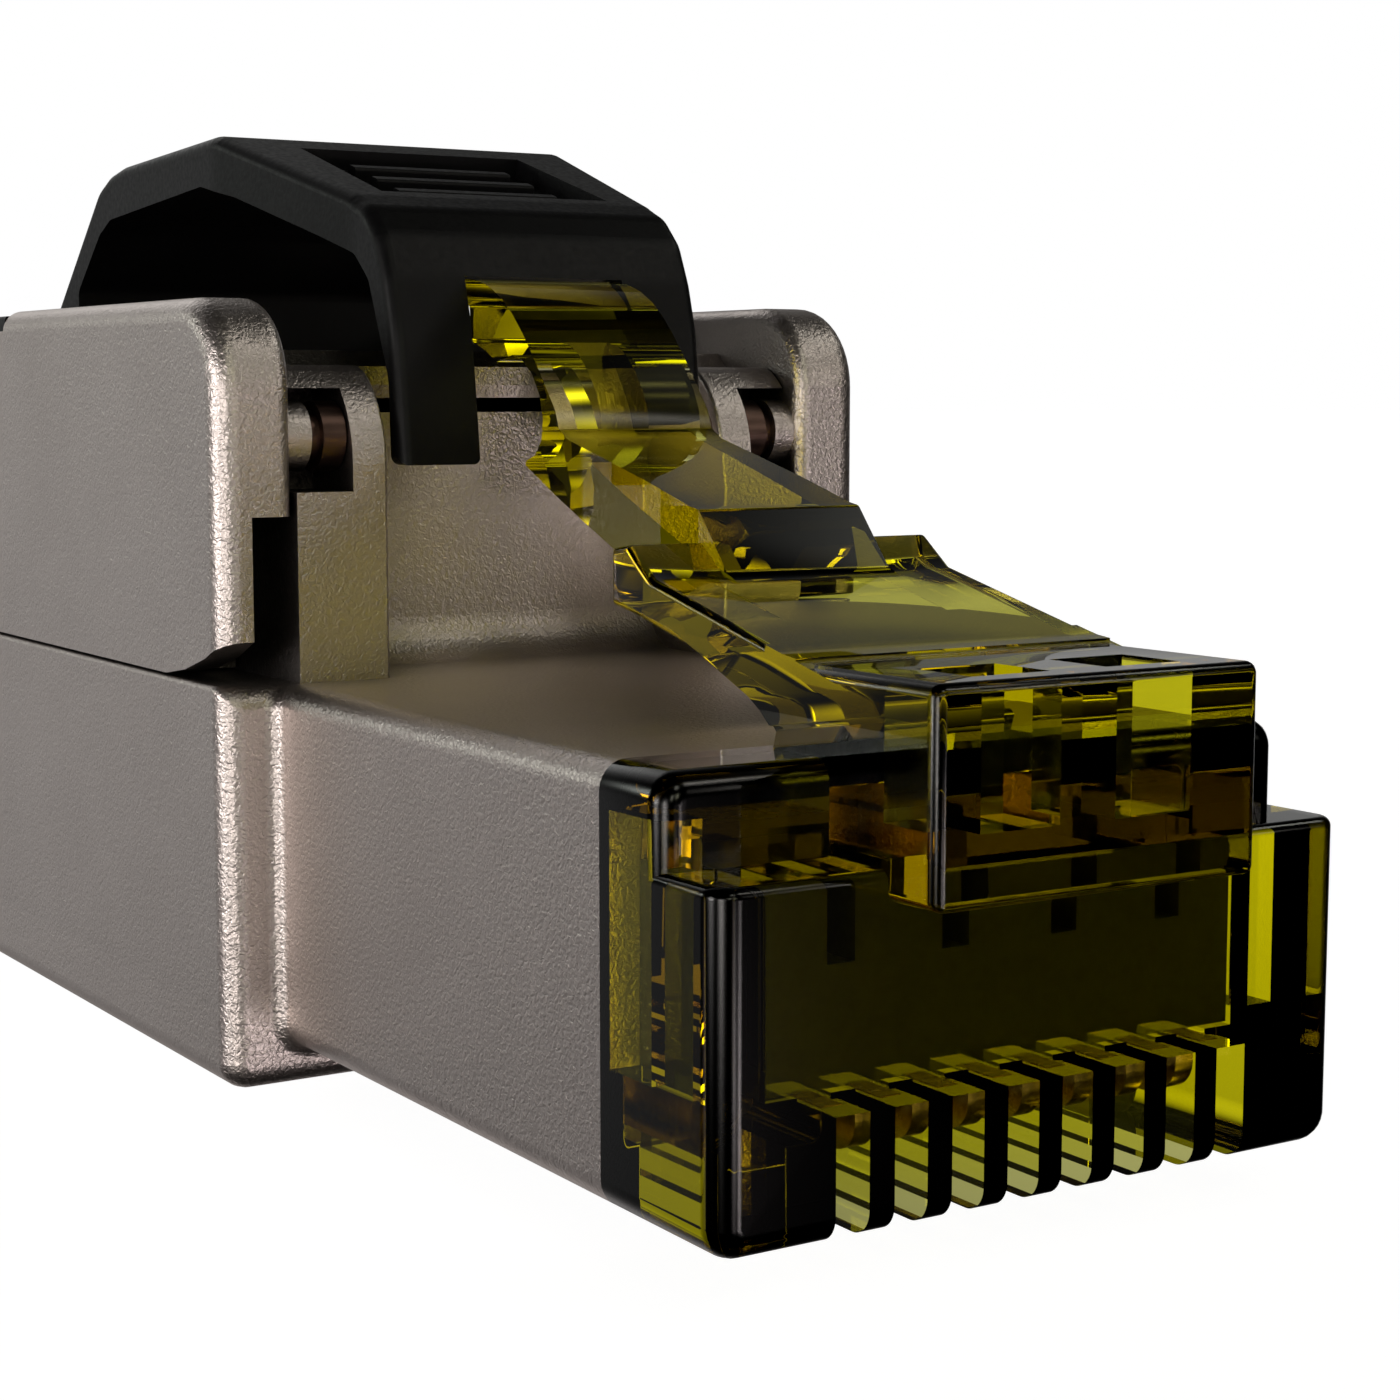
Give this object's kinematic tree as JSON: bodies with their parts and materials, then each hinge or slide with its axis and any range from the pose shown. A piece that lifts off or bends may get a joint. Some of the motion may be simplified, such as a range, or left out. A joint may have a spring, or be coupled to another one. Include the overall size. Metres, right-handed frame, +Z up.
{
  "type": "shielded field modular plug",
  "caption": "Shielded field-fit modular plug: clear amber nose and latch, die-cast housing with hinged cover, and an arched release lever.",
  "frame": {"origin": "centre of the overall box, on the plane the housing's flat underside rests on", "axes": "+Y from the nose towards the cable, +X to the right seen from the nose end, +Z up through the cover and lever"},
  "size_m": [0.0138, 0.0456, 0.0177],
  "materials": {
    "die_cast": "fine-grained satin nickel on a zinc die casting",
    "clear_amber": "clear amber polycarbonate, polished",
    "black_plastic": "satin moulded black",
    "dark_steel": "dark turned pin",
    "bright_steel": "rolled spring steel",
    "dark_carrier": "fine moulded dark",
    "board": "solder resist over glass laminate",
    "pale_plastic": "moulded pale",
    "grey_plastic": "moulded grey",
    "seal_rubber": "soft matt rubber",
    "contact_gold": "gold plated bronze",
    "terminal_metal": "tinned bronze"
  },
  "bodies": {
    "housing": {"lower_housing": "die_cast", "nose_insulator": "clear_amber", "contact_carrier": "dark_carrier", "circuit_board": "board", "connection_block": "pale_plastic", "wire_manager": "grey_plastic", "cable_cradle": "bright_steel", "cable_seal": "seal_rubber", "contact_1": "contact_gold", "contact_2": "contact_gold", "contact_3": "contact_gold", "contact_4": "contact_gold", "contact_5": "contact_gold", "contact_6": "contact_gold", "contact_7": "contact_gold", "contact_8": "contact_gold", "terminal_1": "terminal_metal", "terminal_2": "terminal_metal", "terminal_3": "terminal_metal", "terminal_4": "terminal_metal", "terminal_5": "terminal_metal", "terminal_6": "terminal_metal", "terminal_7": "terminal_metal", "terminal_8": "terminal_metal"},
    "cover": {"upper_cover": "die_cast", "hinge_pin_left": "dark_steel", "hinge_pin_right": "dark_steel", "lever_base": "black_plastic", "lever_pin": "bright_steel", "shield_spring": "bright_steel"},
    "lever": {"release_lever": "black_plastic"},
    "latch": {"latch_tab": "clear_amber"}
  },
  "joints": [
    {"name": "cover_hinge", "type": "hinge", "parent": "housing", "child": "cover", "pos_m": [0, -0.00643, 0.01178], "axis": [1, 0, 0], "range_deg": [0, 45]},
    {"name": "lever_press", "type": "hinge", "parent": "cover", "child": "lever", "pos_m": [0, 0.00889, 0.01349], "axis": [1, 0, 0], "range_deg": [0, 7], "stiffness_Nm_per_rad": 0.02, "springref_deg": -2.86},
    {"name": "latch_flex", "type": "hinge", "parent": "housing", "child": "latch", "pos_m": [0, -0.01938, 0.00819], "axis": [-1, 0, 0], "range_deg": [0, 9.4], "stiffness_Nm_per_rad": 0.02, "springref_deg": -2.86}
  ],
  "couplings": [
    {"joint": "latch_flex", "follows": "lever_press", "ratio": 1.31}
  ]
}
